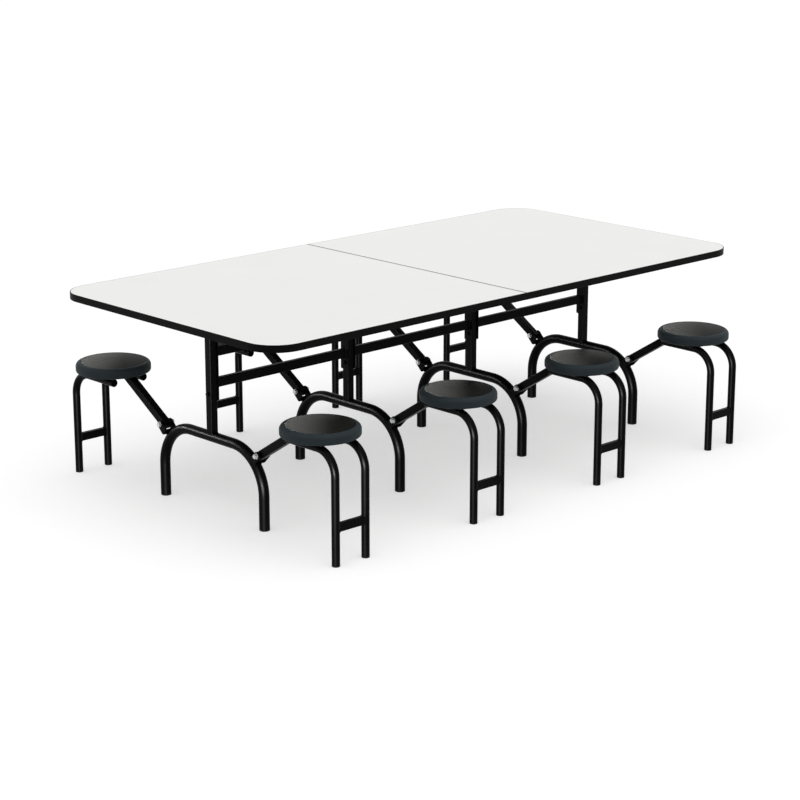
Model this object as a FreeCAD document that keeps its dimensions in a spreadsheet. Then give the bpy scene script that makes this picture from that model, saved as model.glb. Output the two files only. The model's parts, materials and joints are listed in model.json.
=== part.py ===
import FreeCAD, Part
import os
import re
import Sketcher

# Canteen table with a two-panel top on four bent-tube arches.
# Eight round stools are hinged to the arches and fold up on pins that run along the table.
# X runs along the table, Y across it, Z up, and the origin is on the floor under the middle.

doc = FreeCAD.newDocument("StoolTable")
sheet = doc.addObject("Spreadsheet::Sheet", "Sizes")
dimensions = {
    # Top
    "tableHeight": 750,
    "topLength": 2400,
    "topWidth": 1200,
    "cornerRadius": 120,
    "boardThickness": 25,
    "laminateThickness": 1,
    "bandThickness": 3,
    "bandRound": 1.2,
    "seamGap": 0.6,
    # Arches
    "frameCount": 4,
    "framePitch": 650,
    "archTube": 38,
    "archWall": 2,
    "archHeight": 300,
    "archReach": 280,
    "archBend": 160,
    "archPlugFlange": 5,
    "archPlugDepth": 25,
    # Posts, rails and bearers
    "postSide": 30,
    "postWall": 1.5,
    "bearerLength": 760,
    "bearerWidth": 40,
    "bearerHeight": 20,
    "bearerWall": 1.5,
    "railHeight": 35,
    "railDepth": 20,
    "railWall": 1.5,
    "tubeInnerRound": 1.5,
    "bearerCapFlange": 3,
    "bearerCapDepth": 15,
    "endPlateWidth": 40,
    "endPlateThickness": 4,
    "endPlateRound": 4,
    "frameBolt": 8,
    "frameBoltHeadWidth": 13,
    "frameBoltHead": 5.3,
    "frameNut": 6.5,
    "frameWasherWidth": 16,
    "frameWasher": 1.6,
    # Levels on the posts, as shares of the height between arch and board
    "plateBottomShare": 0.271,
    "lowerBoltShare": 0.33,
    "lowerRailShare": 0.4175,
    "upperRailShare": 0.684,
    "upperBoltShare": 0.82,
    "plateTopShare": 0.92,
    # Hinges
    "hingeTilt": 45,
    "hingeStandoff": 37,
    "hingeInside": 40,
    "earThickness": 5,
    "earWidth": 30,
    "hingeBolt": 10,
    "hingeBoltHeadWidth": 16,
    "hingeBoltHead": 6.4,
    "hingeNut": 8.4,
    "hingeWasherWidth": 20,
    "hingeWasher": 2,
    "boltTail": 3,
    "headCrownShare": 0.95,
    "headChamferAngle": 30,
    "bushOuter": 18,
    "bushClearance": 0.06,
    "sideClearance": 0.5,
    # Stools
    "seatHeight": 450,
    "seatReach": 580,
    "seatDiameter": 278,
    "seatThickness": 38,
    "seatTopRound": 16,
    "seatBottomRound": 8,
    "discDiameter": 240,
    "discThickness": 6,
    "discCrown": 4,
    "discRound": 1.5,
    "discClearance": 0.3,
    "seatPlateLength": 200,
    "seatPlateWidth": 168,
    "seatPlateThickness": 4,
    "seatPlateRound": 20,
    "legTube": 28.6,
    "legWall": 1.5,
    "legSpacing": 134,
    "legReach": 728,
    "legBend": 85,
    "legInset": 95,
    "legPlugFlange": 4,
    "legPlugDepth": 20,
    "crossbarHeight": 30,
    "crossbarDepth": 20,
    "crossbarWall": 1.5,
    "crossbarLevel": 135,
    "armHeight": 30,
    "armWidth": 30,
    "armWall": 2,
    "armInset": 95,
    "armTail": 14,
    "plugRound": 2,
    # Fits
    "weldGap": 0.2,
    "plugClearance": 0.2,
    "boltClearance": 0.25,
    "cutOverrun": 60,
}
for row, (alias, number) in enumerate(dimensions.items(), start=1):
    sheet.set(f"A{row}", alias)
    sheet.set(f"B{row}", str(number))
    sheet.setAlias(f"B{row}", alias)
doc.recompute()

# Places worked out from the driving sizes, as expressions
boardUnderside = "(tableHeight - laminateThickness - boardThickness)"
archAxisLevel = "(archHeight - archTube / 2)"
pinSwing = "(archBend + archTube / 2 + hingeStandoff)"
pinReach = f"(archReach - archBend + {pinSwing} * cos(hingeTilt))"
pinLevel = f"({archAxisLevel} - archBend + {pinSwing} * sin(hingeTilt))"
seatUnderside = "(seatHeight - seatThickness)"
plateUnderside = f"({seatUnderside} - seatPlateThickness)"
legAxisLevel = f"({plateUnderside} - weldGap - legTube / 2)"
armRun = f"(seatReach - armInset - {pinReach})"
armRise = f"({plateUnderside} - {pinLevel})"
armSlope = f"atan2({armRise}; {armRun})"
armLength = f"sqrt({armRun} ^ 2 + {armRise} ^ 2)"

alongX = FreeCAD.Rotation(FreeCAD.Vector(0, 1, 0), 90)
alongY = FreeCAD.Rotation(FreeCAD.Vector(1, 0, 0), -90)
upright = FreeCAD.Rotation()
halfTurn = FreeCAD.Rotation(FreeCAD.Vector(0, 0, 1), 180)
tippedAboutX = FreeCAD.Rotation(FreeCAD.Vector(1, 0, 0), 1)
nodes = []


def scoped(text):
    def replaced(match):
        word = match.group()
        return f"Sizes.{word}" if word in dimensions else word
    return re.sub(r"[A-Za-z]\w*", replaced, text)


def value(text):
    return float(sheet.evalExpression(scoped(text)))


def bind(item, expressions):
    for path, text in expressions.items():
        item.setExpression(path, scoped(text))


def place(item, x="0", y="0", z="0", turn=upright):
    item.Placement = FreeCAD.Placement(FreeCAD.Vector(), turn)
    bind(item, {"Placement.Base.x": x, "Placement.Base.y": y, "Placement.Base.z": z})
    return item


def block(name, length, width, height, x="0", y="0", z="0"):
    # A box centred on x and y, standing on z
    item = doc.addObject("Part::Box", name)
    bind(item, {"Length": length, "Width": width, "Height": height})
    return place(item, f"{x} - ({length}) / 2", f"{y} - ({width}) / 2", z)


def rod(name, radius, height, x="0", y="0", z="0", turn=upright):
    item = doc.addObject("Part::Cylinder", name)
    bind(item, {"Radius": radius, "Height": height})
    return place(item, x, y, z, turn)


def cut(name, base, *tools):
    # Takes the tools away from the base, one after the other
    for count, tool in enumerate(tools, start=1):
        result = doc.addObject("Part::Cut", f"{name}Cut{count}")
        result.Base = base
        result.Tool = tool
        base = result
    return base


def fuse(name, *shapes):
    result = doc.addObject("Part::MultiFuse", name)
    result.Shapes = list(shapes)
    result.Refine = True
    return result


def common(name, base, tool):
    result = doc.addObject("Part::Common", name)
    result.Base = base
    result.Tool = tool
    return result


def group(name, *members):
    result = doc.addObject("Part::Compound", name)
    result.Links = list(members)
    return result


def node(label, master, x="0", turned=False):
    link = doc.addObject("App::Link", label)
    link.LinkedObject = master
    link.LinkTransform = True
    link.Label = label
    place(link, x, turn=halfTurn if turned else upright)
    return link


def keep(item, label):
    item.Label = label
    nodes.append(item)


def framePlace(index):
    return f"framePitch * ({index} - (frameCount - 1) / 2)"


def newSketch(body, name, role, offset="0"):
    sketch = body.newObject("Sketcher::SketchObject", name)
    plane = next(feature for feature in body.Origin.OriginFeatures if feature.Role == role)
    sketch.AttachmentSupport = (plane, [""])
    sketch.MapMode = "FlatFace"
    bind(sketch, {"AttachmentOffset.Base.z": offset})
    return sketch


def drive(sketch, kind, text, *points):
    # A dimension of the sketch that follows the sheet
    index = sketch.addConstraint(Sketcher.Constraint(kind, *points, value(text)))
    sketch.setExpression(f"Constraints[{index}]", scoped(text))


def line(sketch, start, end):
    return sketch.addGeometry(Part.LineSegment(FreeCAD.Vector(*start, 0), FreeCAD.Vector(*end, 0)))


def tubeProfile(body, name, diameter, wall, reach, level):
    # Ring section of a tube that rises from a foot at the given reach
    sketch = newSketch(body, name, "XY_Plane", level)
    centre = FreeCAD.Vector(0, value(reach), 0)
    for radius in (f"{diameter} / 2", f"{diameter} / 2 - {wall}"):
        ring = sketch.addGeometry(Part.Circle(centre, FreeCAD.Vector(0, 0, 1), value(radius)))
        drive(sketch, "Radius", radius, ring)
        sketch.addConstraint(Sketcher.Constraint("PointOnObject", ring, 3, -2))
        drive(sketch, "DistanceY", reach, -1, 1, ring, 3)
    return sketch


def bendPath(body, name, reach, foot, level, bend, farEnd):
    # Up from the foot, round a bend and level to farEnd, or over to a second foot where there is none
    sketch = newSketch(body, name, "YZ_Plane")
    out, low, top, radius = (value(text) for text in (reach, foot, level, bend))
    inner = out - radius
    corner = FreeCAD.Vector(inner, top - radius, 0)
    normal = FreeCAD.Vector(0, 0, 1)
    quarter = FreeCAD.Units.Quantity("90 deg").getValueAs("rad").Value
    levelEnd = -inner if farEnd is None else value(farEnd)
    leg = line(sketch, (out, low), (out, top - radius))
    arc = sketch.addGeometry(Part.ArcOfCircle(Part.Circle(corner, normal, radius), 0, quarter))
    run = line(sketch, (inner, top), (levelEnd, top))
    sketch.addConstraint(Sketcher.Constraint("Tangent", leg, 2, arc, 1))
    sketch.addConstraint(Sketcher.Constraint("Tangent", arc, 2, run, 1))
    sketch.addConstraint(Sketcher.Constraint("Vertical", leg))
    sketch.addConstraint(Sketcher.Constraint("Horizontal", run))
    drive(sketch, "Radius", bend, arc)
    drive(sketch, "DistanceX", reach, -1, 1, leg, 1)
    drive(sketch, "DistanceY", foot, -1, 1, leg, 1)
    drive(sketch, "DistanceY", level, -1, 1, run, 1)
    if farEnd is not None:
        drive(sketch, "DistanceX", farEnd, -1, 1, run, 2)
        return sketch
    farCorner = FreeCAD.Vector(-inner, top - radius, 0)
    farCircle = Part.Circle(farCorner, normal, radius)
    farArc = sketch.addGeometry(Part.ArcOfCircle(farCircle, quarter, 2 * quarter))
    farLeg = line(sketch, (-out, top - radius), (-out, low))
    sketch.addConstraint(Sketcher.Constraint("Tangent", run, 2, farArc, 1))
    sketch.addConstraint(Sketcher.Constraint("Tangent", farArc, 2, farLeg, 1))
    sketch.addConstraint(Sketcher.Constraint("Vertical", farLeg))
    sketch.addConstraint(Sketcher.Constraint("Equal", arc, farArc))
    sketch.addConstraint(Sketcher.Constraint("Symmetric", leg, 1, farLeg, 2, -2))
    return sketch


def bentTube(name, diameter, wall, reach, foot, level, bend, farEnd=None):
    body = doc.addObject("PartDesign::Body", name)
    profile = tubeProfile(body, f"{name}Section", diameter, wall, reach, foot)
    path = bendPath(body, f"{name}Path", reach, foot, level, bend, farEnd)
    doc.recompute()
    pipe = body.newObject("PartDesign::AdditivePipe", f"{name}Pipe")
    pipe.Profile = profile
    pipe.Spine = path
    doc.recompute()
    return body


def crownProfile(body, name, radius, thickness, crown):
    # Half section of a disc whose top bulges up to the crown on its axis
    sketch = newSketch(body, name, "XZ_Plane")
    rim, side, bulge = (value(text) for text in (radius, thickness, crown))
    top = side + bulge
    swell = (rim ** 2 + bulge ** 2) / (2 * bulge)
    base = line(sketch, (0, 0), (rim, 0))
    edge = line(sketch, (rim, 0), (rim, side))
    start = FreeCAD.Vector(rim, side, 0)
    dome = Part.Circle(FreeCAD.Vector(0, top - swell, 0), FreeCAD.Vector(0, 0, 1), swell)
    quarter = FreeCAD.Units.Quantity("90 deg").getValueAs("rad").Value
    arc = sketch.addGeometry(Part.ArcOfCircle(dome, dome.parameter(start), quarter))
    axis = line(sketch, (0, top), (0, 0))
    for first, second in ((base, edge), (axis, base)):
        sketch.addConstraint(Sketcher.Constraint("Coincident", first, 2, second, 1))
    sketch.addConstraint(Sketcher.Constraint("Coincident", edge, 2, arc, 1))
    sketch.addConstraint(Sketcher.Constraint("Coincident", arc, 2, axis, 1))
    sketch.addConstraint(Sketcher.Constraint("Coincident", base, 1, -1, 1))
    sketch.addConstraint(Sketcher.Constraint("PointOnObject", arc, 3, -2))
    sketch.addConstraint(Sketcher.Constraint("Vertical", axis))
    sketch.addConstraint(Sketcher.Constraint("Vertical", edge))
    sketch.addConstraint(Sketcher.Constraint("Horizontal", base))
    drive(sketch, "DistanceX", radius, base, 1, base, 2)
    drive(sketch, "DistanceY", thickness, edge, 1, edge, 2)
    drive(sketch, "DistanceY", f"{thickness} + {crown}", axis, 2, axis, 1)
    return sketch


def roundEdges(body, feature, name, radius, chosen):
    # Rounds the edges of the feature that the test picks
    doc.recompute()
    edges = [f"Edge{count}" for count, edge in enumerate(feature.Shape.Edges, start=1) if chosen(edge)]
    result = body.newObject("PartDesign::Fillet", name)
    result.Base = (feature, edges)
    bind(result, {"Radius": radius})
    doc.recompute()
    return result


def roundBar(name, sides, axis, radius, x="0", y="0", z="0"):
    # A bar centred on x and y, standing on z, with its four edges along the axis rounded
    length, width, height = sides
    body = doc.addObject("PartDesign::Body", name)
    slab = body.newObject("PartDesign::AdditiveBox", f"{name}Slab")
    bind(slab, {"Length": length, "Width": width, "Height": height,
                "Placement.Base.x": f"{x} - ({length}) / 2", "Placement.Base.y": f"{y} - ({width}) / 2",
                "Placement.Base.z": z})

    def alongAxis(edge):
        box = edge.BoundBox
        spans = {"x": box.XLength, "y": box.YLength, "z": box.ZLength}
        return max(spans, key=spans.get) == axis
    roundEdges(body, slab, f"{name}Rounds", radius, alongAxis)
    return body


def boxTube(name, sides, wall, axis, y="0", z="0"):
    # A rectangular tube, centred on x and y and standing on z, open along its axis
    outer = roundBar(f"{name}Outer", sides, axis, f"{wall} + tubeInnerRound", y=y, z=z)
    inside = [f"{side} + 2 * cutOverrun" if along == axis else f"{side} - 2 * {wall}"
              for along, side in zip("xyz", sides)]
    floor = "-cutOverrun" if axis == "z" else wall
    bore = roundBar(f"{name}Bore", inside, axis, "tubeInnerRound", y=y, z=f"{z} + {floor}")
    return cut(name, outer, bore)


def footPlug(name, tube, wall, flange, depth, x, y):
    collar = doc.addObject("PartDesign::Body", f"{name}Collar")
    sole = collar.newObject("PartDesign::AdditiveCylinder", f"{name}Sole")
    bind(sole, {"Radius": f"{tube} / 2", "Height": flange})
    roundEdges(collar, sole, f"{name}Round", "plugRound",
               lambda edge: edge.Closed and edge.CenterOfMass.z < value(f"{flange} / 2"))
    spigot = rod(f"{name}Spigot", f"{tube} / 2 - {wall} - plugClearance", f"{flange} + {depth}", x, y)
    return fuse(name, place(collar, x, y), spigot)


def hexagon(name, acrossFlats, height, x, y, z, crownAtStart):
    # A hexagon along x whose corners are turned off at its outer end
    prism = doc.addObject("Part::Prism", f"{name}Prism")
    prism.Polygon = 6
    bind(prism, {"Circumradius": f"{acrossFlats} / sqrt(3)", "Height": height})
    crown = doc.addObject("Part::Cone", f"{name}Crown")
    narrow = f"headCrownShare * {acrossFlats} / 2"
    ends = [narrow, f"{narrow} + {height} / tan(headChamferAngle)"]
    if not crownAtStart:
        ends.reverse()
    bind(crown, {"Radius1": ends[0], "Radius2": ends[1], "Height": height})
    return common(name, place(prism, x, y, z, alongX), place(crown, x, y, z, alongX))


def boltAndNut(name, size, start, grip, y, z):
    # A hexagon bolt of the named size along x, with two washers and a nut, gripping from start
    head, nut, washer = f"{size}Head", size.replace("Bolt", "Nut"), size.replace("Bolt", "Washer")
    headStart = f"{start} - {washer} - {head}"
    nutStart = f"{start} + {grip} + {washer}"
    stem = rod(f"{name}Stem", f"{size} / 2", f"{grip} + 2 * {washer} + {nut} + boltTail",
               f"{start} - {washer}", y, z, alongX)
    cap = hexagon(f"{name}Cap", f"{head}Width", head, headStart, y, z, True)
    rings = {f"{name}Nut": hexagon(f"{name}NutBlank", f"{head}Width", nut, nutStart, y, z, False)}
    for end, seat in (("Near", f"{start} - {washer}"), ("Far", f"{start} + {grip}")):
        label = f"{name}{end}Washer"
        rings[label] = rod(f"{label}Blank", f"{washer}Width / 2", washer, seat, y, z, alongX)
    bolt = [fuse(name, stem, cap)]
    for label, blank in rings.items():
        bore = rod(f"{label}Bore", f"{size} / 2 + bushClearance", f"{grip} + 2 * cutOverrun",
                   f"{start} - cutOverrun", y, z, alongX)
        bolt.append(cut(label, blank, bore))
    return bolt


# Top panels: board, laminate face and edge band

def panel(name, inset, thickness, floor):
    # One half of the top, from the seam to the end, drawn in by the inset
    body = doc.addObject("PartDesign::Body", name)
    slab = body.newObject("PartDesign::AdditiveBox", f"{name}Slab")
    bind(slab, {
        "Length": f"topLength / 2 - seamGap / 2 - 2 * {inset}",
        "Width": f"topWidth - 2 * {inset}",
        "Height": thickness,
        "Placement.Base.x": f"seamGap / 2 + {inset}",
        "Placement.Base.y": f"{inset} - topWidth / 2",
        "Placement.Base.z": floor,
    })
    halfLength = value("topLength / 4")

    def outerCorner(edge):
        box = edge.BoundBox
        return box.XLength + box.YLength < box.ZLength and edge.CenterOfMass.x > halfLength
    roundEdges(body, slab, f"{name}Corners", f"cornerRadius - {inset}", outerCorner)
    return body


board = panel("board", "bandThickness", "boardThickness", boardUnderside)
laminate = panel("laminate", "bandThickness", "laminateThickness", f"{boardUnderside} + boardThickness")
bandOutline = panel("bandOutline", "0", "laminateThickness + boardThickness", boardUnderside)
roundEdges(bandOutline, bandOutline.Tip, "bandRounds", "bandRound",
           lambda edge: edge.BoundBox.ZLength < value("bandRound"))
bandCore = panel("bandCore", "bandThickness", "tableHeight", f"{boardUnderside} - cutOverrun")
band = cut("band", bandOutline, bandCore)
keep(node("top_board_right", board), "top_board_right")
keep(node("top_board_left", board, turned=True), "top_board_left")
keep(group("laminates", node("laminateRight", laminate), node("laminateLeft", laminate, turned=True)),
     "top_laminates")
keep(group("bands", node("bandRight", band), node("bandLeft", band, turned=True)), "edge_bands")

# Arches with their foot plugs, and the posts that stand on them

arch = bentTube("arch", "archTube", "archWall", "archReach", "archPlugFlange", archAxisLevel, "archBend")
postHeight = f"({boardUnderside} - bearerHeight - {archAxisLevel})"
postTube = boxTube("postTube", ("postSide", "postSide", postHeight), "postWall", "z")
place(postTube, z=archAxisLevel)
saddle = rod("postSaddle", "archTube / 2 + weldGap", "postSide + 2 * cutOverrun",
             y="-postSide / 2 - cutOverrun", z=archAxisLevel, turn=alongY)


def postLevel(share):
    return f"(archHeight + {share} * ({boardUnderside} - archHeight))"


boltLevels = {"lowerBolt": postLevel("lowerBoltShare"), "upperBolt": postLevel("upperBoltShare")}


def boltHoles(name):
    return [rod(f"{name}{which}", "frameBolt / 2 + boltClearance", "framePitch + 2 * cutOverrun",
                "-framePitch / 2 - cutOverrun", z=level, turn=alongX)
            for which, level in boltLevels.items()]


post = cut("post", postTube, saddle, *boltHoles("postHole"))
bearerSides = ("bearerWidth", "bearerLength", "bearerHeight")
bearerCap = fuse(
    "bearerCap",
    roundBar("bearerCapFace", ("bearerWidth", "bearerCapFlange", "bearerHeight"), "y",
             "bearerWall + tubeInnerRound", y="(bearerLength + bearerCapFlange) / 2"),
    block("bearerCapSpigot", "bearerWidth - 2 * (bearerWall + tubeInnerRound)",
          "bearerCapDepth + bearerCapFlange", "bearerHeight - 2 * (bearerWall + plugClearance)",
          y="(bearerLength - bearerCapDepth + bearerCapFlange) / 2", z="bearerWall + plugClearance"))
bearer = group("bearer", boxTube("bearerTube", bearerSides, "bearerWall", "y"),
               node("bearerCapBack", bearerCap), node("bearerCapFront", bearerCap, turned=True))
place(bearer, z=f"{boardUnderside} - bearerHeight")
frames = range(int(value("frameCount")))
for index in frames:
    keep(node(f"arch_{index + 1}", arch, framePlace(index)), f"arch_{index + 1}")
for index in frames:
    keep(node(f"post_{index + 1}", post, framePlace(index)), f"post_{index + 1}")
keep(group("bearers", *[node(f"bearer{index}", bearer, framePlace(index)) for index in frames]),
     "top_bearers")
archPlugs = group("archPlugs", *[
    footPlug(f"archPlug{side}", "archTube", "archWall", "archPlugFlange", "archPlugDepth", "0",
             f"{sign}archReach")
    for side, sign in (("Front", "-"), ("Back", ""))])
keep(group("archPlugSets", *[node(f"archPlugs{index}", archPlugs, framePlace(index)) for index in frames]),
     "arch_foot_plugs")

# Rail frames: two rails welded between end plates that bolt to the posts

railLength = "(framePitch - postSide - 2 * endPlateThickness)"
railFrame = []
for name in ("lowerRail", "upperRail"):
    rail = boxTube(name, (railLength, "railDepth", "railHeight"), "railWall", "x")
    railFrame.append(place(rail, z=f"{postLevel(name + 'Share')} - railHeight / 2"))
plateBottom, plateTop = postLevel("plateBottomShare"), postLevel("plateTopShare")
for name, sign in (("nearPlate", "-"), ("farPlate", "")):
    plate = roundBar(name, ("endPlateThickness", "endPlateWidth", f"{plateTop} - {plateBottom}"), "x",
                     "endPlateRound", f"{sign}(framePitch - postSide - endPlateThickness) / 2", z=plateBottom)
    railFrame.append(cut(name, plate, *boltHoles(f"{name}Hole")))
railFrame = group("railFrame", *railFrame)
for index in frames[:-1]:
    keep(node(f"rail_frame_{index + 1}", railFrame, f"{framePlace(index)} + framePitch / 2"),
         f"rail_frame_{index + 1}")
frameBolts = []
for index in frames:
    plateBefore = "endPlateThickness" if index > 0 else "0"
    plateAfter = "endPlateThickness" if index < frames[-1] else "0"
    start = f"{framePlace(index)} - postSide / 2 - {plateBefore}"
    grip = f"{plateBefore} + postSide + {plateAfter}"
    for which, level in boltLevels.items():
        frameBolts += boltAndNut(f"{which}{index}", "frameBolt", start, grip, "0", level)
keep(group("frameBolts", *frameBolts), "frame_bolts")

# Hinge brackets, folded from strap and welded on the shoulders of the arches

strapWidth = "(hingeInside + 2 * earThickness)"
strap = doc.addObject("PartDesign::Body", "hingeStrap")
slab = strap.newObject("PartDesign::AdditiveBox", "strapSlab")
bind(slab, {"Length": strapWidth, "Width": "earWidth", "Height": "hingeStandoff - weldGap",
            "Placement.Base.x": f"-{strapWidth} / 2", "Placement.Base.y": "-earWidth / 2",
            "Placement.Base.z": "weldGap - hingeStandoff"})


def strapFold(edge):
    return edge.BoundBox.YLength > edge.BoundBox.ZLength and edge.CenterOfMass.z < -value("hingeStandoff / 2")


roundEdges(strap, slab, "strapBends", "earThickness", strapFold)
tips = rod("earTips", "earWidth / 2", strapWidth, f"-{strapWidth} / 2", turn=alongX)
mouth = block("strapMouth", "hingeInside", "earWidth + 2 * cutOverrun", "hingeStandoff + cutOverrun",
              z="weldGap + earThickness - hingeStandoff")
eye = rod("earEyes", "hingeBolt / 2 + bushClearance", f"{strapWidth} + 2 * cutOverrun",
          f"-{strapWidth} / 2 - cutOverrun", turn=alongX)
bracket = cut("bracket", fuse("strapEars", strap, tips), mouth, eye)
place(bracket, y=pinReach, z=pinLevel, turn=tippedAboutX)
bind(bracket, {"Placement.Rotation.Angle": "hingeTilt - 90"})
hingeBolt = boltAndNut("hingePin", "hingeBolt", f"-{strapWidth} / 2", strapWidth, pinReach, pinLevel)
hingeBolt = group("hingeBolt", *hingeBolt)
sides = (("front", True), ("back", False))
keep(group("brackets", *[node(f"bracket_{side}_{index}", bracket, framePlace(index), turned)
                         for side, turned in sides for index in frames]), "hinge_brackets")
keep(group("hingeBolts", *[node(f"hingeBolt_{side}_{index}", hingeBolt, framePlace(index), turned)
                           for side, turned in sides for index in frames]), "hinge_bolts")

# Stool: seat pan and disc, leg frame, hinged arm and foot plugs

seatPan = doc.addObject("PartDesign::Body", "seatPan")
puck = seatPan.newObject("PartDesign::AdditiveCylinder", "panPuck")
bind(puck, {"Radius": "seatDiameter / 2", "Height": "seatThickness"})
roundEdges(seatPan, puck, "panTopRound", "seatTopRound",
           lambda edge: edge.Closed and edge.CenterOfMass.z > value("seatThickness / 2"))
roundEdges(seatPan, seatPan.Tip, "panBottomRound", "seatBottomRound",
           lambda edge: edge.Closed and edge.BoundBox.ZMax < value("discRound"))
place(seatPan, y="seatReach", z=seatUnderside)
recess = rod("panRecess", "discDiameter / 2 + discClearance", "discThickness + cutOverrun", y="seatReach",
             z="seatHeight - discThickness")
seatPan = cut("seatPan", seatPan, recess)
seatDisc = doc.addObject("PartDesign::Body", "seatDisc")
crowned = seatDisc.newObject("PartDesign::Revolution", "discCrowned")
crowned.Profile = crownProfile(seatDisc, "discSection", "discDiameter / 2", "discThickness", "discCrown")
crowned.ReferenceAxis = (crowned.Profile[0], ["V_Axis"])
roundEdges(seatDisc, crowned, "discEdge", "discRound",
           lambda edge: edge.Closed and edge.CenterOfMass.z > value("discThickness / 2"))
place(seatDisc, y="seatReach", z="seatHeight - discThickness")

legTubes = []
for side, sign in (("Left", "-"), ("Right", "")):
    tube = bentTube(f"leg{side}", "legTube", "legWall", "legReach", "legPlugFlange", legAxisLevel,
                    "legBend", "seatReach - legInset")
    legTubes.append(place(tube, f"{sign}legSpacing / 2"))
crossbarTube = boxTube("crossbarTube", ("legSpacing", "crossbarDepth", "crossbarHeight"), "crossbarWall", "x",
                       "legReach", "crossbarLevel - crossbarHeight / 2")
copes = [rod(f"crossbarCope{side}", "legTube / 2 + weldGap", "crossbarLevel + cutOverrun",
             f"{sign}legSpacing / 2", "legReach") for side, sign in (("Left", "-"), ("Right", ""))]
crossbar = cut("crossbar", crossbarTube, *copes)
legFrame = group("legFrame", *legTubes, crossbar)

armStock = f"({armLength} + armHeight + armTail)"
armTube = boxTube("armTube", ("armWidth", armStock, "armHeight"), "armWall", "y",
                  f"{armStock} / 2 - armTail", "-armHeight / 2")
armEnd = block("armEnd", "armWidth - armWall", "armWall", "armHeight - armWall", y="armWall / 2 - armTail",
               z="(armWall - armHeight) / 2")
armBar = fuse("armBar", armTube, armEnd)
place(armBar, y=pinReach, z=pinLevel, turn=tippedAboutX)
bind(armBar, {"Placement.Rotation.Angle": armSlope})
mitre = block("armMitre", "armWidth + 2 * cutOverrun", "2 * seatReach", "armHeight + cutOverrun",
              y="seatReach", z=f"{plateUnderside} - weldGap")
bushLength = "(hingeInside - 2 * sideClearance)"
armCope, bushBody, bushBore = [
    rod(name, radius, length, f"-{length} / 2", pinReach, pinLevel, alongX)
    for name, radius, length in (("armCope", "bushOuter / 2 + weldGap", "hingeInside"),
                                 ("bushBody", "bushOuter / 2", bushLength),
                                 ("bushBore", "hingeBolt / 2 + bushClearance", "hingeInside"))]
bush = cut("bush", bushBody, bushBore)
seatPlate = roundBar("seatPlate", ("seatPlateWidth", "seatPlateLength", "seatPlateThickness"), "z",
                     "seatPlateRound", y="seatReach", z=plateUnderside)
arm = group("arm", cut("arm", armBar, mitre, armCope), bush, seatPlate)
legPlugs = group("legPlugs", *[
    footPlug(f"legPlug{side}", "legTube", "legWall", "legPlugFlange", "legPlugDepth", f"{sign}legSpacing / 2",
             "legReach")
    for side, sign in (("Left", "-"), ("Right", ""))])
stoolPieces = {"seat_pan": seatPan, "seat_disc": seatDisc, "leg_frame": legFrame, "arm": arm,
               "foot_plugs": legPlugs}
for side, turned in sides:
    for index in frames:
        for piece, master in stoolPieces.items():
            label = f"stool_{side}_{index + 1}_{piece}"
            keep(node(label, master, framePlace(index), turned), label)

# Nothing is written unless every object and every piece is sound

doc.recompute()
for item in doc.Objects:
    if "Invalid" in item.State or "Error" in item.State:
        raise RuntimeError(f"{item.Label} did not build: {item.State}")
shapes = {item.Label: Part.getShape(item) for item in nodes}
for label, shape in shapes.items():
    if shape.isNull() or not shape.isValid() or not shape.Solids:
        raise RuntimeError(f"{label} has no sound shape")
os.makedirs("parts", exist_ok=True)
for label, shape in shapes.items():
    shape.exportStep(f"parts/{label}.step")
print(f"{len(shapes)} pieces, {sum(len(shape.Solids) for shape in shapes.values())} solids")
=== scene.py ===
import bpy
import bmesh
import json
import math
from mathutils import Matrix, Vector

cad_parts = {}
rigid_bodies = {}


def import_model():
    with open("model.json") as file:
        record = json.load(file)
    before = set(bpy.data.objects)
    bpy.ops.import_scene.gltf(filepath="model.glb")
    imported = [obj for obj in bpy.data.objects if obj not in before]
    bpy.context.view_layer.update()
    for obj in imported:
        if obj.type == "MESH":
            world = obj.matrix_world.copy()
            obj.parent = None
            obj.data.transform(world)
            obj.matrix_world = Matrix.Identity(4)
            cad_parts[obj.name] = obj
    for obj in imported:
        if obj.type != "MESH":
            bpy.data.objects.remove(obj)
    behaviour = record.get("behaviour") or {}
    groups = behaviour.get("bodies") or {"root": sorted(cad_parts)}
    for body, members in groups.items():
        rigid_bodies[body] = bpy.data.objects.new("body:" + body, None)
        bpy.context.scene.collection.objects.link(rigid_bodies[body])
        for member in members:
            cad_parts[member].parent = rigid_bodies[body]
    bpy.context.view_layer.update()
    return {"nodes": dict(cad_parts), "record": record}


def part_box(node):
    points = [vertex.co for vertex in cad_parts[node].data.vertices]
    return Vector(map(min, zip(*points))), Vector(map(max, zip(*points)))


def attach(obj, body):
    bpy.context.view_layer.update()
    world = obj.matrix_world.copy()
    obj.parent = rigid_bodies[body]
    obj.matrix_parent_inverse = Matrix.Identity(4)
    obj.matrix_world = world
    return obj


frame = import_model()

mm = 0.001
nodes = frame["nodes"]
record = frame["record"]


def linearColour(hexCode):  # sRGB hex to the linear values that shaders want
    channels = [int(hexCode[i:i + 2], 16) / 255 for i in (1, 3, 5)]
    return (*[c / 12.92 if c <= 0.04045 else ((c + 0.055) / 1.055) ** 2.4 for c in channels], 1.0)


# Sockets go by name, or by number where names repeat: a colour mix has its factor at 0, its two colours
# at 6 and 7, and its result at 2
def addNode(tree, kind, settings, inputs):  # one node with its settings, and its values or links by socket
    node = tree.nodes.new(kind)
    for name, setting in settings.items():
        setattr(node, name, setting)
    for socket, source in inputs.items():
        if isinstance(source, bpy.types.NodeSocket):
            tree.links.new(source, node.inputs[socket])
        else:
            node.inputs[socket].default_value = source
    return node


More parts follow.
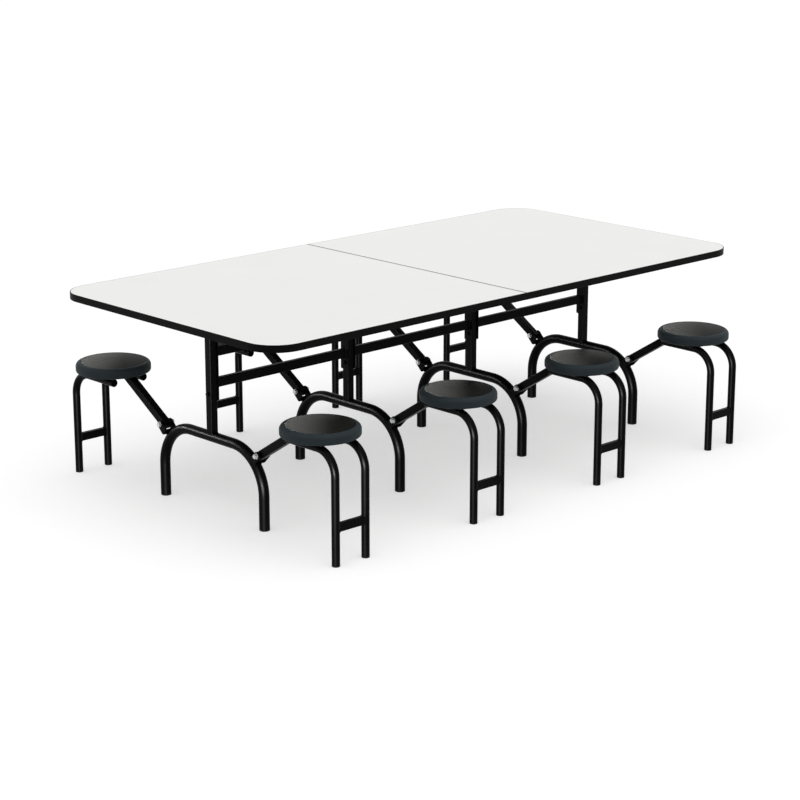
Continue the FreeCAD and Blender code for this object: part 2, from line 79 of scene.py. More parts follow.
def newMaterial(name):  # an empty material and the place socket that its patterns read
    material = bpy.data.materials.new(name)
    material.use_nodes = True
    tree = material.node_tree
    tree.nodes.clear()
    place = addNode(tree, "ShaderNodeTexCoord", {}, {}).outputs["Object"]
    return material, tree, place


def perMetre(sizeMm):  # texture scale for a pattern whose features are this many millimetres
    return 1 / (sizeMm * mm)


# Decorative laminate: melamine paper pressed to a pearl texture, an even off-white with a satin sheen.
# The pearl is really about 0.8 mm; it is drawn coarser so that it breaks up the sheen in the render.
laminateFinish = {"dark": "#ECECEA", "light": "#F0F0EE", "cloudMm": 220, "pearlMm": 3,
                  "pearlDepthMm": 0.03, "roughness": (0.42, 0.54), "ior": 1.5}


def makeLaminate():
    look = laminateFinish
    material, tree, place = newMaterial("pearl_laminate")
    cloud = addNode(tree, "ShaderNodeTexNoise", {}, {
        "Vector": place, "Scale": perMetre(look["cloudMm"]), "Detail": 3.0})
    colour = addNode(tree, "ShaderNodeMix", {"data_type": "RGBA"}, {
        0: cloud.outputs["Fac"], 6: linearColour(look["dark"]), 7: linearColour(look["light"])})
    pearl = addNode(tree, "ShaderNodeTexNoise", {}, {
        "Vector": place, "Scale": perMetre(look["pearlMm"]), "Detail": 1.0})
    satin = addNode(tree, "ShaderNodeMapRange", {}, {
        "Value": pearl.outputs["Fac"], "To Min": look["roughness"][0], "To Max": look["roughness"][1]})
    relief = addNode(tree, "ShaderNodeBump", {}, {
        "Height": pearl.outputs["Fac"], "Distance": look["pearlDepthMm"] * mm})
    shader = addNode(tree, "ShaderNodeBsdfPrincipled", {}, {
        "Base Color": colour.outputs[2], "Roughness": satin.outputs["Result"],
        "Normal": relief.outputs["Normal"], "IOR": look["ior"]})
    addNode(tree, "ShaderNodeOutputMaterial", {}, {"Surface": shader.outputs["BSDF"]})
    return material


# Powder coat: black polyester baked on steel tube, deep black with a soft sheen and a slight orange peel.
# Shoes and mops dull it to a greyer black close to the floor.
paintFinish = {"dark": "#020202", "light": "#070708", "scuff": "#181818", "patchMm": 55, "peelMm": 2.5,
               "peelDepthMm": 0.012, "scuffMm": 7, "scuffHeightMm": 70, "roughness": (0.3, 0.38),
               "specular": 0.03}


def makePaint():
    look = paintFinish
    material, tree, place = newMaterial("black_powder_coat")
    patch = addNode(tree, "ShaderNodeTexNoise", {}, {
        "Vector": place, "Scale": perMetre(look["patchMm"]), "Detail": 3.0})
    black = addNode(tree, "ShaderNodeMix", {"data_type": "RGBA"}, {
        0: patch.outputs["Fac"], 6: linearColour(look["dark"]), 7: linearColour(look["light"])})
    height = addNode(tree, "ShaderNodeSeparateXYZ", {}, {"Vector": place})
    nearFloor = addNode(tree, "ShaderNodeMapRange", {}, {
        "Value": height.outputs["Z"], "From Min": 0.0, "From Max": look["scuffHeightMm"] * mm,
        "To Min": 1.0, "To Max": 0.0})
    rubs = addNode(tree, "ShaderNodeTexNoise", {}, {
        "Vector": place, "Scale": perMetre(look["scuffMm"]), "Detail": 4.0, "Roughness": 0.7})
    scuffed = addNode(tree, "ShaderNodeMath", {"operation": "MULTIPLY"}, {
        0: nearFloor.outputs["Result"], 1: rubs.outputs["Fac"]})
    colour = addNode(tree, "ShaderNodeMix", {"data_type": "RGBA"}, {
        0: scuffed.outputs["Value"], 6: black.outputs[2], 7: linearColour(look["scuff"])})
    sheen = addNode(tree, "ShaderNodeMapRange", {}, {
        "Value": patch.outputs["Fac"], "To Min": look["roughness"][0], "To Max": look["roughness"][1]})
    peel = addNode(tree, "ShaderNodeTexNoise", {}, {
        "Vector": place, "Scale": perMetre(look["peelMm"]), "Detail": 1.0})
    relief = addNode(tree, "ShaderNodeBump", {}, {
        "Height": peel.outputs["Fac"], "Distance": look["peelDepthMm"] * mm})
    shader = addNode(tree, "ShaderNodeBsdfPrincipled", {}, {
        "Base Color": colour.outputs[2], "Roughness": sheen.outputs["Result"],
        "Normal": relief.outputs["Normal"], "Specular IOR Level": look["specular"]})
    addNode(tree, "ShaderNodeOutputMaterial", {}, {"Surface": shader.outputs["BSDF"]})
    return material


# Edge band: extruded black PVC, a flat black with faint level streaks from the die
bandFinish = {"dark": "#010101", "light": "#060606", "streakMm": (400, 400, 3), "streakDepthMm": 0.02,
              "roughness": (0.42, 0.52), "specular": 0.05}


def makeBand():
    look = bandFinish
    material, tree, place = newMaterial("extruded_edge_band")
    drawn = addNode(tree, "ShaderNodeMapping", {}, {
        "Vector": place, "Scale": [perMetre(size) for size in look["streakMm"]]})
    streak = addNode(tree, "ShaderNodeTexNoise", {}, {
        "Vector": drawn.outputs["Vector"], "Scale": 1.0, "Detail": 2.0})
    colour = addNode(tree, "ShaderNodeMix", {"data_type": "RGBA"}, {
        0: streak.outputs["Fac"], 6: linearColour(look["dark"]), 7: linearColour(look["light"])})
    dull = addNode(tree, "ShaderNodeMapRange", {}, {
        "Value": streak.outputs["Fac"], "To Min": look["roughness"][0], "To Max": look["roughness"][1]})
    relief = addNode(tree, "ShaderNodeBump", {}, {
        "Height": streak.outputs["Fac"], "Distance": look["streakDepthMm"] * mm})
    shader = addNode(tree, "ShaderNodeBsdfPrincipled", {}, {
        "Base Color": colour.outputs[2], "Roughness": dull.outputs["Result"],
        "Normal": relief.outputs["Normal"], "Specular IOR Level": look["specular"]})
    addNode(tree, "ShaderNodeOutputMaterial", {}, {"Surface": shader.outputs["BSDF"]})
    return material


# Seat pan: moulded slate-grey polypropylene with a fine eroded grain, satin and a little cloudy
panFinish = {"dark": "#20282B", "light": "#2B3438", "cloudMm": 60, "grainMm": 1.6, "grainDepthMm": 0.05,
             "roughness": (0.56, 0.68), "specular": 0.14}


def makePan():
    look = panFinish
    material, tree, place = newMaterial("moulded_slate_polypropylene")
    cloud = addNode(tree, "ShaderNodeTexNoise", {}, {
        "Vector": place, "Scale": perMetre(look["cloudMm"]), "Detail": 2.0})
    colour = addNode(tree, "ShaderNodeMix", {"data_type": "RGBA"}, {
        0: cloud.outputs["Fac"], 6: linearColour(look["dark"]), 7: linearColour(look["light"])})
    grain = addNode(tree, "ShaderNodeTexVoronoi", {}, {"Vector": place, "Scale": perMetre(look["grainMm"])})
    satin = addNode(tree, "ShaderNodeMapRange", {}, {
        "Value": grain.outputs["Distance"], "To Min": look["roughness"][0], "To Max": look["roughness"][1]})
    relief = addNode(tree, "ShaderNodeBump", {}, {
        "Height": grain.outputs["Distance"], "Distance": look["grainDepthMm"] * mm})
    shader = addNode(tree, "ShaderNodeBsdfPrincipled", {}, {
        "Base Color": colour.outputs[2], "Roughness": satin.outputs["Result"],
        "Normal": relief.outputs["Normal"], "Specular IOR Level": look["specular"]})
    addNode(tree, "ShaderNodeOutputMaterial", {}, {"Surface": shader.outputs["BSDF"]})
    return material


# Seat disc: black high-pressure laminate, polished when new and rubbed dull by use, so it is a very dark
# grey with only a faint gloss
discFinish = {"dark": "#1C1C1B", "light": "#212120", "cloudMm": 80, "rubMm": 5, "rubDepthMm": 0.003,
              "roughness": (0.2, 0.28), "specular": 0.005}


def makeDisc():
    look = discFinish
    material, tree, place = newMaterial("polished_black_laminate")
    cloud = addNode(tree, "ShaderNodeTexNoise", {}, {
        "Vector": place, "Scale": perMetre(look["cloudMm"]), "Detail": 2.0})
    colour = addNode(tree, "ShaderNodeMix", {"data_type": "RGBA"}, {
        0: cloud.outputs["Fac"], 6: linearColour(look["dark"]), 7: linearColour(look["light"])})
    rub = addNode(tree, "ShaderNodeTexNoise", {}, {
        "Vector": place, "Scale": perMetre(look["rubMm"]), "Detail": 4.0, "Roughness": 0.7})
    gloss = addNode(tree, "ShaderNodeMapRange", {}, {
        "Value": rub.outputs["Fac"], "To Min": look["roughness"][0], "To Max": look["roughness"][1]})
    relief = addNode(tree, "ShaderNodeBump", {}, {
        "Height": rub.outputs["Fac"], "Distance": look["rubDepthMm"] * mm})
    shader = addNode(tree, "ShaderNodeBsdfPrincipled", {}, {
        "Base Color": colour.outputs[2], "Roughness": gloss.outputs["Result"],
        "Normal": relief.outputs["Normal"], "Specular IOR Level": look["specular"]})
    addNode(tree, "ShaderNodeOutputMaterial", {}, {"Surface": shader.outputs["BSDF"]})
    return material


# Bolts and screws: bright zinc plate on turned steel, lightly clouded
zincFinish = {"dark": "#B4B6B8", "light": "#DCDEDE", "cloudMm": 4, "roughness": (0.24, 0.4)}


def makeZinc():
    look = zincFinish
    material, tree, place = newMaterial("bright_zinc_plate")
    cloud = addNode(tree, "ShaderNodeTexNoise", {}, {
        "Vector": place, "Scale": perMetre(look["cloudMm"]), "Detail": 3.0})
    colour = addNode(tree, "ShaderNodeMix", {"data_type": "RGBA"}, {
        0: cloud.outputs["Fac"], 6: linearColour(look["dark"]), 7: linearColour(look["light"])})
    polish = addNode(tree, "ShaderNodeMapRange", {}, {
        "Value": cloud.outputs["Fac"], "To Min": look["roughness"][0], "To Max": look["roughness"][1]})
    shader = addNode(tree, "ShaderNodeBsdfPrincipled", {}, {
        "Base Color": colour.outputs[2], "Roughness": polish.outputs["Result"], "Metallic": 1.0})
    addNode(tree, "ShaderNodeOutputMaterial", {}, {"Surface": shader.outputs["BSDF"]})
    return material


# Board: chipboard with a pale grey backing paper on its underside, dull and faintly flecked by the chips
boardFinish = {"dark": "#C2C1BD", "light": "#CECDC9", "fleckMm": 6, "fleckDepthMm": 0.04,
               "roughness": (0.6, 0.75), "specular": 0.25}


def makeBoard():
    look = boardFinish
    material, tree, place = newMaterial("paper_backed_chipboard")
    fleck = addNode(tree, "ShaderNodeTexNoise", {}, {
        "Vector": place, "Scale": perMetre(look["fleckMm"]), "Detail": 4.0, "Roughness": 0.7})
    colour = addNode(tree, "ShaderNodeMix", {"data_type": "RGBA"}, {
        0: fleck.outputs["Fac"], 6: linearColour(look["dark"]), 7: linearColour(look["light"])})
    dull = addNode(tree, "ShaderNodeMapRange", {}, {
        "Value": fleck.outputs["Fac"], "To Min": look["roughness"][0], "To Max": look["roughness"][1]})
    relief = addNode(tree, "ShaderNodeBump", {}, {
        "Height": fleck.outputs["Fac"], "Distance": look["fleckDepthMm"] * mm})
    shader = addNode(tree, "ShaderNodeBsdfPrincipled", {}, {
        "Base Color": colour.outputs[2], "Roughness": dull.outputs["Result"],
        "Normal": relief.outputs["Normal"], "Specular IOR Level": look["specular"]})
    addNode(tree, "ShaderNodeOutputMaterial", {}, {"Surface": shader.outputs["BSDF"]})
    return material


# Foot plugs: moulded black polyethylene, dull and waxy
plugFinish = {"dark": "#0A0A0B", "light": "#151516", "cloudMm": 12, "grainMm": 1.2, "grainDepthMm": 0.03,
              "roughness": (0.5, 0.62), "specular": 0.25}


def makePlug():
    look = plugFinish
    material, tree, place = newMaterial("moulded_black_polyethylene")
    cloud = addNode(tree, "ShaderNodeTexNoise", {}, {
        "Vector": place, "Scale": perMetre(look["cloudMm"]), "Detail": 2.0})
    colour = addNode(tree, "ShaderNodeMix", {"data_type": "RGBA"}, {
        0: cloud.outputs["Fac"], 6: linearColour(look["dark"]), 7: linearColour(look["light"])})
    grain = addNode(tree, "ShaderNodeTexVoronoi", {}, {"Vector": place, "Scale": perMetre(look["grainMm"])})
    waxy = addNode(tree, "ShaderNodeMapRange", {}, {
        "Value": grain.outputs["Distance"], "To Min": look["roughness"][0], "To Max": look["roughness"][1]})
    relief = addNode(tree, "ShaderNodeBump", {}, {
        "Height": grain.outputs["Distance"], "Distance": look["grainDepthMm"] * mm})
    shader = addNode(tree, "ShaderNodeBsdfPrincipled", {}, {
        "Base Color": colour.outputs[2], "Roughness": waxy.outputs["Result"],
        "Normal": relief.outputs["Normal"], "Specular IOR Level": look["specular"]})
    addNode(tree, "ShaderNodeOutputMaterial", {}, {"Surface": shader.outputs["BSDF"]})
    return material


finishes = {
    "laminate": makeLaminate(),
    "board": makeBoard(),
    "edge_band": makeBand(),
    "frame_paint": makePaint(),
    "bolt_steel": makeZinc(),
    "foot_plug": makePlug(),
    "seat_pan": makePan(),
    "seat_disc": makeDisc(),
}
for subpart in record["subparts"]:
    skin = nodes[subpart["node"]].data.materials
    skin.clear()
    skin.append(finishes[subpart["material_slot"]])
print("finishes on every node:", len(finishes))

# Weld beads, screws, seam straps and bolt threads stand where the boxes and hinges of the frame put them.
# The sizes in their dictionaries are in millimetres.
frameCount = 4  # arches, each with a post and a bearer
archLow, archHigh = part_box("arch_1")
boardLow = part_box("top_board_left")[0]
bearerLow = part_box("top_bearers")[0]
postLow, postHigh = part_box("post_1")
tubeRadius = (archHigh[0] - archLow[0]) / 2
postHalf = (postHigh[0] - postLow[0]) / 2
postRise = boardLow[2] - archHigh[2]
hinges = {joint["child"]: joint["pos_m"] for joint in record["behaviour"]["joints"]}


def middle(node, axis):  # halfway point of a node along one axis
    low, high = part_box(node)
    return (low[axis] + high[axis]) / 2


def addPiece(name, mesh, body, slotName):  # a finished mesh as a piece that rides on its body
    mesh.name = name
    mesh.materials.append(finishes[slotName])
    piece = bpy.data.objects.new(name, mesh)
    bpy.context.scene.collection.objects.link(piece)
    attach(piece, body)


# A weld bead is a thin tube along its joint, with ripples from step to step
weld = {"radius": 2.1, "roundness": 1, "ripple": 0.16, "step": 1.5, "stand": 0.5, "corner": 3.0,
        "cornerSteps": 4}
railWeld = {"halfHeight": 17.5, "halfDepth": 10.0, "plate": 4.0, "shares": (0.4175, 0.684)}
bracketWeld = {"standoff": 36.8, "halfWidth": 15.0, "halfRun": 9.0, "tilt": 45.0}
stoolWeld = {"legSpacing": 134.0, "legRadius": 14.3, "plate": 4.0, "plateReach": 100.0, "armHalf": 15.0,
             "armInset": 95.0, "crossLevel": 135.0, "crossHalfHeight": 15.0, "crossHalfDepth": 10.0,
             "stitches": ((-82, -52), (22, 52)), "stitchOffset": 5.6, "stitchDrop": 1.3}


def roundedOutline(halfWide, halfHigh, corner):  # points round a rectangle with rounded corners
    points = []
    for quarter, (wide, high) in enumerate(((1, 1), (-1, 1), (-1, -1), (1, -1))):
        for step in range(weld["cornerSteps"] + 1):
            angle = (quarter + step / weld["cornerSteps"]) * math.pi / 2
            points.append((wide * (halfWide - corner) + corner * math.cos(angle),
                           high * (halfHigh - corner) + corner * math.sin(angle)))
    return points


def evenly(points, spacing, closed):  # the same path in equal steps, an even count so that ripples alternate
    path = [Vector(point) for point in points] + ([Vector(points[0])] if closed else [])
    runs = [(second - first).length for first, second in zip(path, path[1:])]
    count = max(2, 2 * round(sum(runs) / spacing / 2))
    steps = []
    for index in range(count if closed else count + 1):
        left = sum(runs) * index / count
        for start, end, run in zip(path, path[1:], runs):
            if left <= run:
                break
            left -= run
        else:  # rounding can carry the last step a hair past the end
            left = run
        steps.append(start.lerp(end, left / run))
    return steps


def beadPiece(name, beads, body):  # a rippled bead along each path, all in one mesh
    curve = bpy.data.curves.new(name, "CURVE")
    curve.dimensions = "3D"
    curve.bevel_depth = weld["radius"] * mm
    curve.bevel_resolution = weld["roundness"]
    curve.use_fill_caps = True
    for points, closed in beads:
        spline = curve.splines.new("POLY")
        spline.points.add(len(points) - 1)
        for index, (knot, point) in enumerate(zip(spline.points, points)):
            knot.co = (*point, 1.0)
            knot.radius = 1.0 - weld["ripple"] * (index % 2)
        spline.use_cyclic_u = closed
    sweep = bpy.data.objects.new(name, curve)
    mesh = bpy.data.meshes.new_from_object(sweep)
    bpy.data.objects.remove(sweep)
    bpy.data.curves.remove(curve)
    mesh.shade_smooth()
    addPiece(name, mesh, body, "frame_paint")


def makeTableWelds():
    stand, step, corner = weld["stand"] * mm, weld["step"] * mm, weld["corner"] * mm
    beads = []
    axisLevel = archHigh[2] - tubeRadius
    square = evenly(roundedOutline(postHalf + stand, postHalf + stand, corner), step, True)
    for index in range(1, frameCount + 1):  # each post on its arch and under its bearer
        x = middle(f"post_{index}", 0)
        saddle = [(x + a, b, axisLevel + math.sqrt(tubeRadius ** 2 - a ** 2) + stand) for a, b in square]
        beads.append((saddle, True))
        beads.append(([(x + a, b, bearerLow[2] - stand) for a, b in square], True))
    rail = evenly(roundedOutline(railWeld["halfDepth"] * mm + stand,
                                 railWeld["halfHeight"] * mm + stand, corner), step, True)
    for index in range(1, frameCount):  # rail ends on their plates
        low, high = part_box(f"rail_frame_{index}")
        inset = railWeld["plate"] * mm + stand
        for share in railWeld["shares"]:
            level = archHigh[2] + share * postRise
            for x in (low[0] + inset, high[0] - inset):
                beads.append(([(x, a, level + b) for a, b in rail], True))
    tilt = math.radians(bracketWeld["tilt"])
    inward, halfRun = bracketWeld["standoff"] * mm, bracketWeld["halfRun"] * mm
    for x, y, z in hinges.values():  # bracket straps on the shoulders of the arches
        side = math.copysign(1.0, y)
        for along in (-bracketWeld["halfWidth"] * mm - stand, bracketWeld["halfWidth"] * mm + stand):
            beadY = y - side * (inward * math.cos(tilt) + along * math.sin(tilt))
            beadZ = z - inward * math.sin(tilt) + along * math.cos(tilt)
            ends = [(x + offset, beadY, beadZ) for offset in (-halfRun, halfRun)]
            beads.append((evenly(ends, step, False), False))
    beadPiece("table_welds", beads, "table")


def makeStoolWelds(body):
    stand, step, corner = weld["stand"] * mm, weld["step"] * mm, weld["corner"] * mm
    x, seatY = middle(f"{body}_seat_pan", 0), middle(f"{body}_seat_pan", 1)
    side = math.copysign(1.0, seatY)
    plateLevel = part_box(f"{body}_seat_pan")[0][2] - stoolWeld["plate"] * mm
    legY = middle(f"{body}_foot_plugs", 1)
    legRadius = stoolWeld["legRadius"] * mm
    beads = []
    ring = evenly(roundedOutline(stoolWeld["crossHalfDepth"] * mm + stand,
                                 stoolWeld["crossHalfHeight"] * mm + stand, corner), step, True)
    for hand in (-1, 1):  # crossbar on each leg, and each leg stitched to the plate
        legX = x + hand * stoolWeld["legSpacing"] * mm / 2
        cope = [(legX - hand * (math.sqrt(legRadius ** 2 - a ** 2) + stand), legY + a,
                 stoolWeld["crossLevel"] * mm + b) for a, b in ring]
        beads.append((cope, True))
        for flank in (-1, 1):
            for stitch in stoolWeld["stitches"]:
                ends = [(legX + flank * stoolWeld["stitchOffset"] * mm, seatY + side * reach * mm,
                         plateLevel - stoolWeld["stitchDrop"] * mm) for reach in stitch]
                beads.append((evenly(ends, step, False), False))
    pinY, pinZ = hinges[body][1:]
    half, armEnd = stoolWeld["armHalf"] * mm, stoolWeld["armInset"] * mm
    slope = math.atan2(plateLevel - pinZ, abs(seatY - pinY) - armEnd)
    wide, level = half + stand, plateLevel - stand
    edge = seatY - side * (stoolWeld["plateReach"] - weld["radius"]) * mm
    end = seatY - side * (armEnd - half / math.sin(slope) - stand)
    arm = [(x - wide, edge, level), (x - wide, end, level),
           (x + wide, end, level), (x + wide, edge, level)]  # three sides of the arm, under the plate
    beads.append((evenly(arm, step, False), False))
    beadPiece(f"{body}_welds", beads, body)


# Pan-head screws with a cross recess, made once and set under the seats, the bearers and the seam straps
screw = {"radius": 5.2, "segments": 24, "skirt": 0.9, "shoulder": (0.7, 1.3), "dome": (1.4, 0.7),
         "armLong": 2.2, "armHalf": 0.5, "recess": 1.6, "recessTaper": 0.6, "turnStep": 0.7}
seatScrews = {"across": 35.0, "along": 72.0, "plate": 4.0}
bearerScrews = {"along": (90.0, 330.0)}
seamStrap = {"length": 120.0, "width": 40.0, "thickness": 2.5, "corner": 6.0, "cornerSegments": 6,
             "edge": 0.5, "edgeSegments": 2, "along": (-400.0, 0.0, 400.0), "screwAcross": (22.0, 46.0)}


def makeScrew():  # a head that stands on z = 0
    shape = bmesh.new()
    bmesh.ops.create_circle(shape, segments=screw["segments"], radius=screw["radius"] * mm,
                            cap_ends=True)
    raised = bmesh.ops.extrude_face_region(shape, geom=shape.faces[:])["geom"]
    top = [item for item in raised if isinstance(item, bmesh.types.BMFace)]
    bmesh.ops.translate(shape, vec=(0, 0, screw["skirt"] * mm), verts=top[0].verts[:])
    for inset, rise in (screw["shoulder"], screw["dome"]):
        bmesh.ops.inset_region(shape, faces=top, thickness=inset * mm, depth=rise * mm)
    rim, level = top[0].edges[:], top[0].verts[0].co.z
    bmesh.ops.delete(shape, geom=top, context="FACES_ONLY")
    reach, half = screw["armLong"] * mm, screw["armHalf"] * mm
    corners = []
    for quarter in range(4):
        turn = Matrix.Rotation(quarter * math.pi / 2, 3, "Z")
        corners += [shape.verts.new(turn @ Vector((a, b, level)))
                    for a, b in ((half, half), (half, reach), (-half, reach))]
    cross = [shape.edges.new(pair) for pair in zip(corners, corners[1:] + corners[:1])]
    bmesh.ops.bridge_loops(shape, edges=rim + cross)
    floor = bmesh.ops.contextual_create(shape, geom=cross)["faces"]
    sunk = bmesh.ops.extrude_face_region(shape, geom=floor)["geom"]
    bmesh.ops.delete(shape, geom=floor, context="FACES_ONLY")  # the recess is open at the top
    bottom = [item for item in sunk if isinstance(item, bmesh.types.BMVert)]
    bmesh.ops.translate(shape, vec=(0, 0, -screw["recess"] * mm), verts=bottom)
    bmesh.ops.scale(shape, vec=(screw["recessTaper"], screw["recessTaper"], 1.0), verts=bottom)
    bmesh.ops.recalc_face_normals(shape, faces=shape.faces[:])
    mesh = bpy.data.meshes.new("screw_head")
    shape.to_mesh(mesh)
    shape.free()
    return mesh


def setScrews(name, head, places, body):  # heads that hang down from the given places
    shape = bmesh.new()
    for count, place in enumerate(places):
        known = len(shape.verts)
        shape.from_mesh(head)
        shape.verts.ensure_lookup_table()
        hang = Matrix.Translation(place) @ Matrix.Rotation(math.pi, 4, "X")
        spin = Matrix.Rotation(count * screw["turnStep"], 4, "Z")  # no two recesses stop at the same angle
        bmesh.ops.transform(shape, matrix=hang @ spin, verts=shape.verts[known:])
    mesh = bpy.data.meshes.new(name)
    shape.to_mesh(mesh)
    shape.free()
    addPiece(name, mesh, body, "bolt_steel")


def makeScrews():
    head = makeScrew()
    for body in hinges:
        x, y = middle(f"{body}_seat_pan", 0), middle(f"{body}_seat_pan", 1)
        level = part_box(f"{body}_seat_pan")[0][2] - seatScrews["plate"] * mm
        places = [(x + a * seatScrews["across"] * mm, y + b * seatScrews["along"] * mm, level)
                  for a in (-1, 1) for b in (-1, 1)]
        setScrews(f"{body}_seat_screws", head, places, body)
    places = [(middle(f"post_{index}", 0), side * along * mm, bearerLow[2])
              for index in range(1, frameCount + 1)
              for along in bearerScrews["along"] for side in (-1, 1)]
    setScrews("bearer_screws", head, places, "table")
    places = [(side * across * mm, along * mm, boardLow[2] - seamStrap["thickness"] * mm)
              for along in seamStrap["along"]
              for across in seamStrap["screwAcross"] for side in (-1, 1)]
    setScrews("seam_screws", head, places, "table")
    bpy.data.meshes.remove(head)


def makeSeamStraps():  # flat steel across the seam, under the two panels
    shape = bmesh.new()
    for along in seamStrap["along"]:
        size = Vector((seamStrap["length"], seamStrap["width"], seamStrap["thickness"])) * mm
        centre = Vector((0, along * mm, boardLow[2] - size.z / 2))
        stretch = Matrix.Translation(centre) @ Matrix.Diagonal((*size, 1.0))
        bar = bmesh.ops.create_cube(shape, size=1.0, matrix=stretch)
        upright = dict.fromkeys(edge for vert in bar["verts"] for edge in vert.link_edges
                                if abs(edge.verts[0].co.z - edge.verts[1].co.z) > size.z / 2)
        bmesh.ops.bevel(shape, geom=list(upright), offset=seamStrap["corner"] * mm,
                        segments=seamStrap["cornerSegments"], profile=0.5, affect="EDGES", material=-1)
    lower = [edge for edge in shape.edges
             if all(vert.co.z < boardLow[2] - seamStrap["thickness"] * mm / 2 for vert in edge.verts)]
    bmesh.ops.bevel(shape, geom=lower, offset=seamStrap["edge"] * mm,
                    segments=seamStrap["edgeSegments"], profile=0.5, affect="EDGES", material=-1)
    mesh = bpy.data.meshes.new("seam_straps")
    shape.to_mesh(mesh)
    shape.free()
    addPiece("seam_straps", mesh, "table", "frame_paint")


# A coarse thread on the end of each hinge bolt that shows past its nut; the ridge is a share of the pitch
boltThread = {"pitch": 1.5, "turns": 1.2, "radius": 5.0, "seat": 0.2, "crest": 0.3, "ridge": 0.8,
              "segments": 20}


def makeThreads():
    pitch, radius = boltThread["pitch"] * mm, boltThread["radius"] * mm
    root, crest = radius - boltThread["seat"] * mm, radius + boltThread["crest"] * mm
    length = pitch * (boltThread["turns"] + boltThread["ridge"])
    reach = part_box("hinge_bolts")[1][0] - hinges[f"stool_back_{frameCount}"][0]
    steps = round(boltThread["turns"] * boltThread["segments"])
    shape = bmesh.new()
    for x, y, z in hinges.values():
        hand = math.copysign(1.0, y)  # the nuts of the front and back bolts face opposite ways
        start = x + hand * (reach - length)
        ridge = [shape.verts.new((start + hand * pitch * boltThread["ridge"] * along, y, z + high))
                 for along, high in ((0, root), (0.5, crest), (1, root))]
        face = shape.faces.new(ridge)
        bmesh.ops.spin(shape, geom=[face] + face.edges[:] + ridge, cent=(x, y, z), axis=(1, 0, 0),
                       dvec=(hand * pitch / boltThread["segments"], 0, 0),
                       angle=hand * boltThread["turns"] * 2 * math.pi, steps=steps)
    bmesh.ops.recalc_face_normals(shape, faces=shape.faces[:])
    mesh = bpy.data.meshes.new("hinge_bolt_threads")
    shape.to_mesh(mesh)
    shape.free()
    addPiece("hinge_bolt_threads", mesh, "table", "bolt_steel")


makeTableWelds()
for stoolName in hinges:
    makeStoolWelds(stoolName)
print("weld beads laid")
makeScrews()
makeSeamStraps()
makeThreads()
print("screws, seam straps and bolt threads set")

# Stage, in metres and degrees: a pale floor, an overhead studio light, a raking beam for the seat discs,
# low wide softboxes that draw the sheen on the tubes, and the camera
stageLook = {"floorSize": 80.0, "floorColour": "#C4C4C4", "floorLift": 0.52, "skyColour": "#FFFFFF",
             "skyLight": 0.48}
overhead = {"strength": 1.55, "spread": 80.0, "from": (-0.2, -0.25, 1.0)}
raking = {"power": 70.0, "spread": 2.0, "turn": -133.4, "rise": 1.2, "distance": 2.2, "level": 0.452,
          "width": 3.2, "height": 0.08}
softboxes = {"places": ((-58.0, 0.26), (-137.0, 1.5)), "powers": (1300.0, 420.0), "distance": 5.0,
             "aim": 0.2, "width": 2.2, "height": 0.5}
camera = {"azimuth": -43.4, "elevation": 15.55, "distance": 8.5, "lens": 100.05, "sensor": 36.0,
          "target": (-0.06, 0.0, 0.2406), "reach": 200.0}


def outward(turn, rise):  # direction out to a turn and a rise in degrees, with the front at turn 0
    turn, rise = math.radians(turn), math.radians(rise)
    return Vector((math.sin(turn) * math.cos(rise), -math.cos(turn) * math.cos(rise), math.sin(rise)))


def facing(way):  # rotation of a lamp or camera that looks this way
    return way.to_track_quat("-Z", "Y").to_euler()


def seenRays(tree):  # 1 for rays of the eye, of reflections and through glass, 0 for those that only light
    path = addNode(tree, "ShaderNodeLightPath", {}, {})
    seen = addNode(tree, "ShaderNodeMath", {"operation": "MAXIMUM"}, {
        0: path.outputs["Is Camera Ray"], 1: path.outputs["Is Glossy Ray"]})
    seenThrough = addNode(tree, "ShaderNodeMath", {"operation": "MAXIMUM"}, {
        0: seen.outputs["Value"], 1: path.outputs["Is Transmission Ray"]})
    return seenThrough.outputs["Value"]


def makeFloor():  # lifted to white where it is seen, and still darker in the shadows
    shape = bmesh.new()
    bmesh.ops.create_grid(shape, x_segments=1, y_segments=1, size=stageLook["floorSize"] / 2)
    mesh = bpy.data.meshes.new("floor")
    shape.to_mesh(mesh)
    shape.free()
    floor = bpy.data.objects.new("floor", mesh)
    bpy.context.scene.collection.objects.link(floor)
    material, tree = newMaterial("pale_floor")[:2]  # an even colour, so nothing reads its place
    lift = addNode(tree, "ShaderNodeMath", {"operation": "MULTIPLY"}, {
        0: seenRays(tree), 1: stageLook["floorLift"]})
    glow = addNode(tree, "ShaderNodeEmission", {}, {"Strength": lift.outputs["Value"]})
    matt = addNode(tree, "ShaderNodeBsdfDiffuse", {}, {"Color": linearColour(stageLook["floorColour"])})
    both = addNode(tree, "ShaderNodeAddShader", {}, {
        0: matt.outputs["BSDF"], 1: glow.outputs["Emission"]})
    addNode(tree, "ShaderNodeOutputMaterial", {}, {"Surface": both.outputs["Shader"]})
    mesh.materials.append(material)


def makeSky():  # white to the eye and in reflections, softer as a light
    world = bpy.data.worlds.new("studio")
    bpy.context.scene.world = world
    world.use_nodes = True
    tree = world.node_tree
    tree.nodes.clear()
    strength = addNode(tree, "ShaderNodeMapRange", {}, {
        "Value": seenRays(tree), "To Min": stageLook["skyLight"], "To Max": 1.0})
    background = addNode(tree, "ShaderNodeBackground", {}, {
        "Color": linearColour(stageLook["skyColour"]), "Strength": strength.outputs["Result"]})
    addNode(tree, "ShaderNodeOutputWorld", {}, {"Surface": background.outputs["Background"]})


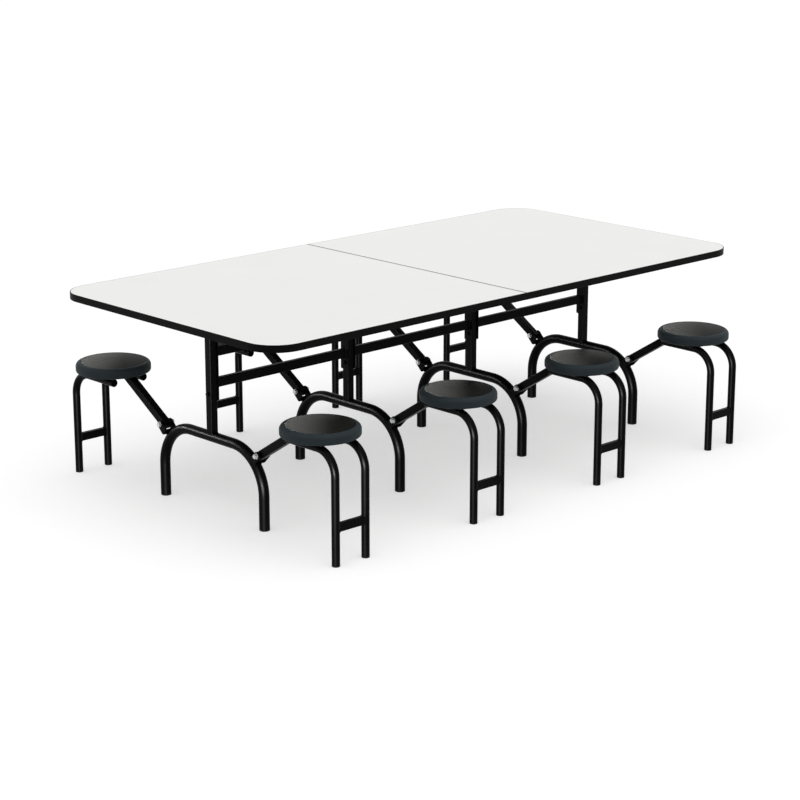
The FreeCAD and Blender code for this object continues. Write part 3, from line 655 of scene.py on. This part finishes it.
def makeOverhead():
    light = bpy.data.lights.new("overhead", "SUN")
    light.energy = overhead["strength"]
    light.angle = math.radians(overhead["spread"])
    lamp = bpy.data.objects.new("overhead", light)
    lamp.rotation_euler = facing(-Vector(overhead["from"]))
    bpy.context.scene.collection.objects.link(lamp)


def piecesWith(*slotNames):  # a collection of everything in these finishes, for a lamp to be linked to
    pieces = bpy.data.collections.new("_and_".join(slotNames))
    names = [finishes[slotName].name for slotName in slotNames]
    for item in bpy.context.scene.objects:
        if item.type == "MESH" and any(name in item.data.materials for name in names):
            pieces.objects.link(item)
    return pieces


def panelLamp(name, look, power):  # a rectangular lamp that the camera does not see
    light = bpy.data.lights.new(name, "AREA")
    light.shape = "RECTANGLE"
    light.size, light.size_y = look["width"], look["height"]
    light.energy = power
    lamp = bpy.data.objects.new(light.name, light)
    lamp.visible_camera = False
    bpy.context.scene.collection.objects.link(lamp)
    return lamp


def makeRaking():  # a flat beam at seat height that shades the crown of the discs, and lights nothing else
    lamp = panelLamp("raking", raking, raking["power"])
    lamp.data.spread = math.radians(raking["spread"])
    towards = outward(raking["turn"], raking["rise"])
    lamp.location = towards * raking["distance"] + Vector((0, 0, raking["level"]))
    lamp.rotation_euler = facing(-towards)
    lamp.visible_glossy = False
    lamp.light_linking.receiver_collection = piecesWith("seat_disc")
    # the rim of the pan keeps the beam off the edge of the disc
    lamp.light_linking.blocker_collection = piecesWith("seat_disc", "seat_pan")


def makeSoftboxes():  # seen only in the gloss of the painted steel, so that they add no light or shadow
    painted = piecesWith("frame_paint")
    for (turn, level), power in zip(softboxes["places"], softboxes["powers"]):
        lamp = panelLamp("softbox", softboxes, power)
        lamp.location = outward(turn, 0.0) * softboxes["distance"] + Vector((0, 0, level))
        lamp.rotation_euler = facing(Vector((0, 0, softboxes["aim"])) - lamp.location)
        lamp.visible_diffuse = False
        lamp.light_linking.receiver_collection = painted


def makeCamera():
    data = bpy.data.cameras.new("camera")
    data.lens, data.sensor_width, data.clip_end = camera["lens"], camera["sensor"], camera["reach"]
    back = outward(camera["azimuth"], camera["elevation"])
    view = bpy.data.objects.new("camera", data)
    view.location = Vector(camera["target"]) + back * camera["distance"]
    view.rotation_euler = facing(-back)
    bpy.context.scene.collection.objects.link(view)
    bpy.context.scene.camera = view


makeFloor()
makeSky()
makeOverhead()
makeRaking()
makeSoftboxes()
makeCamera()
bpy.context.scene.view_settings.view_transform = "Standard"
print("stage set")
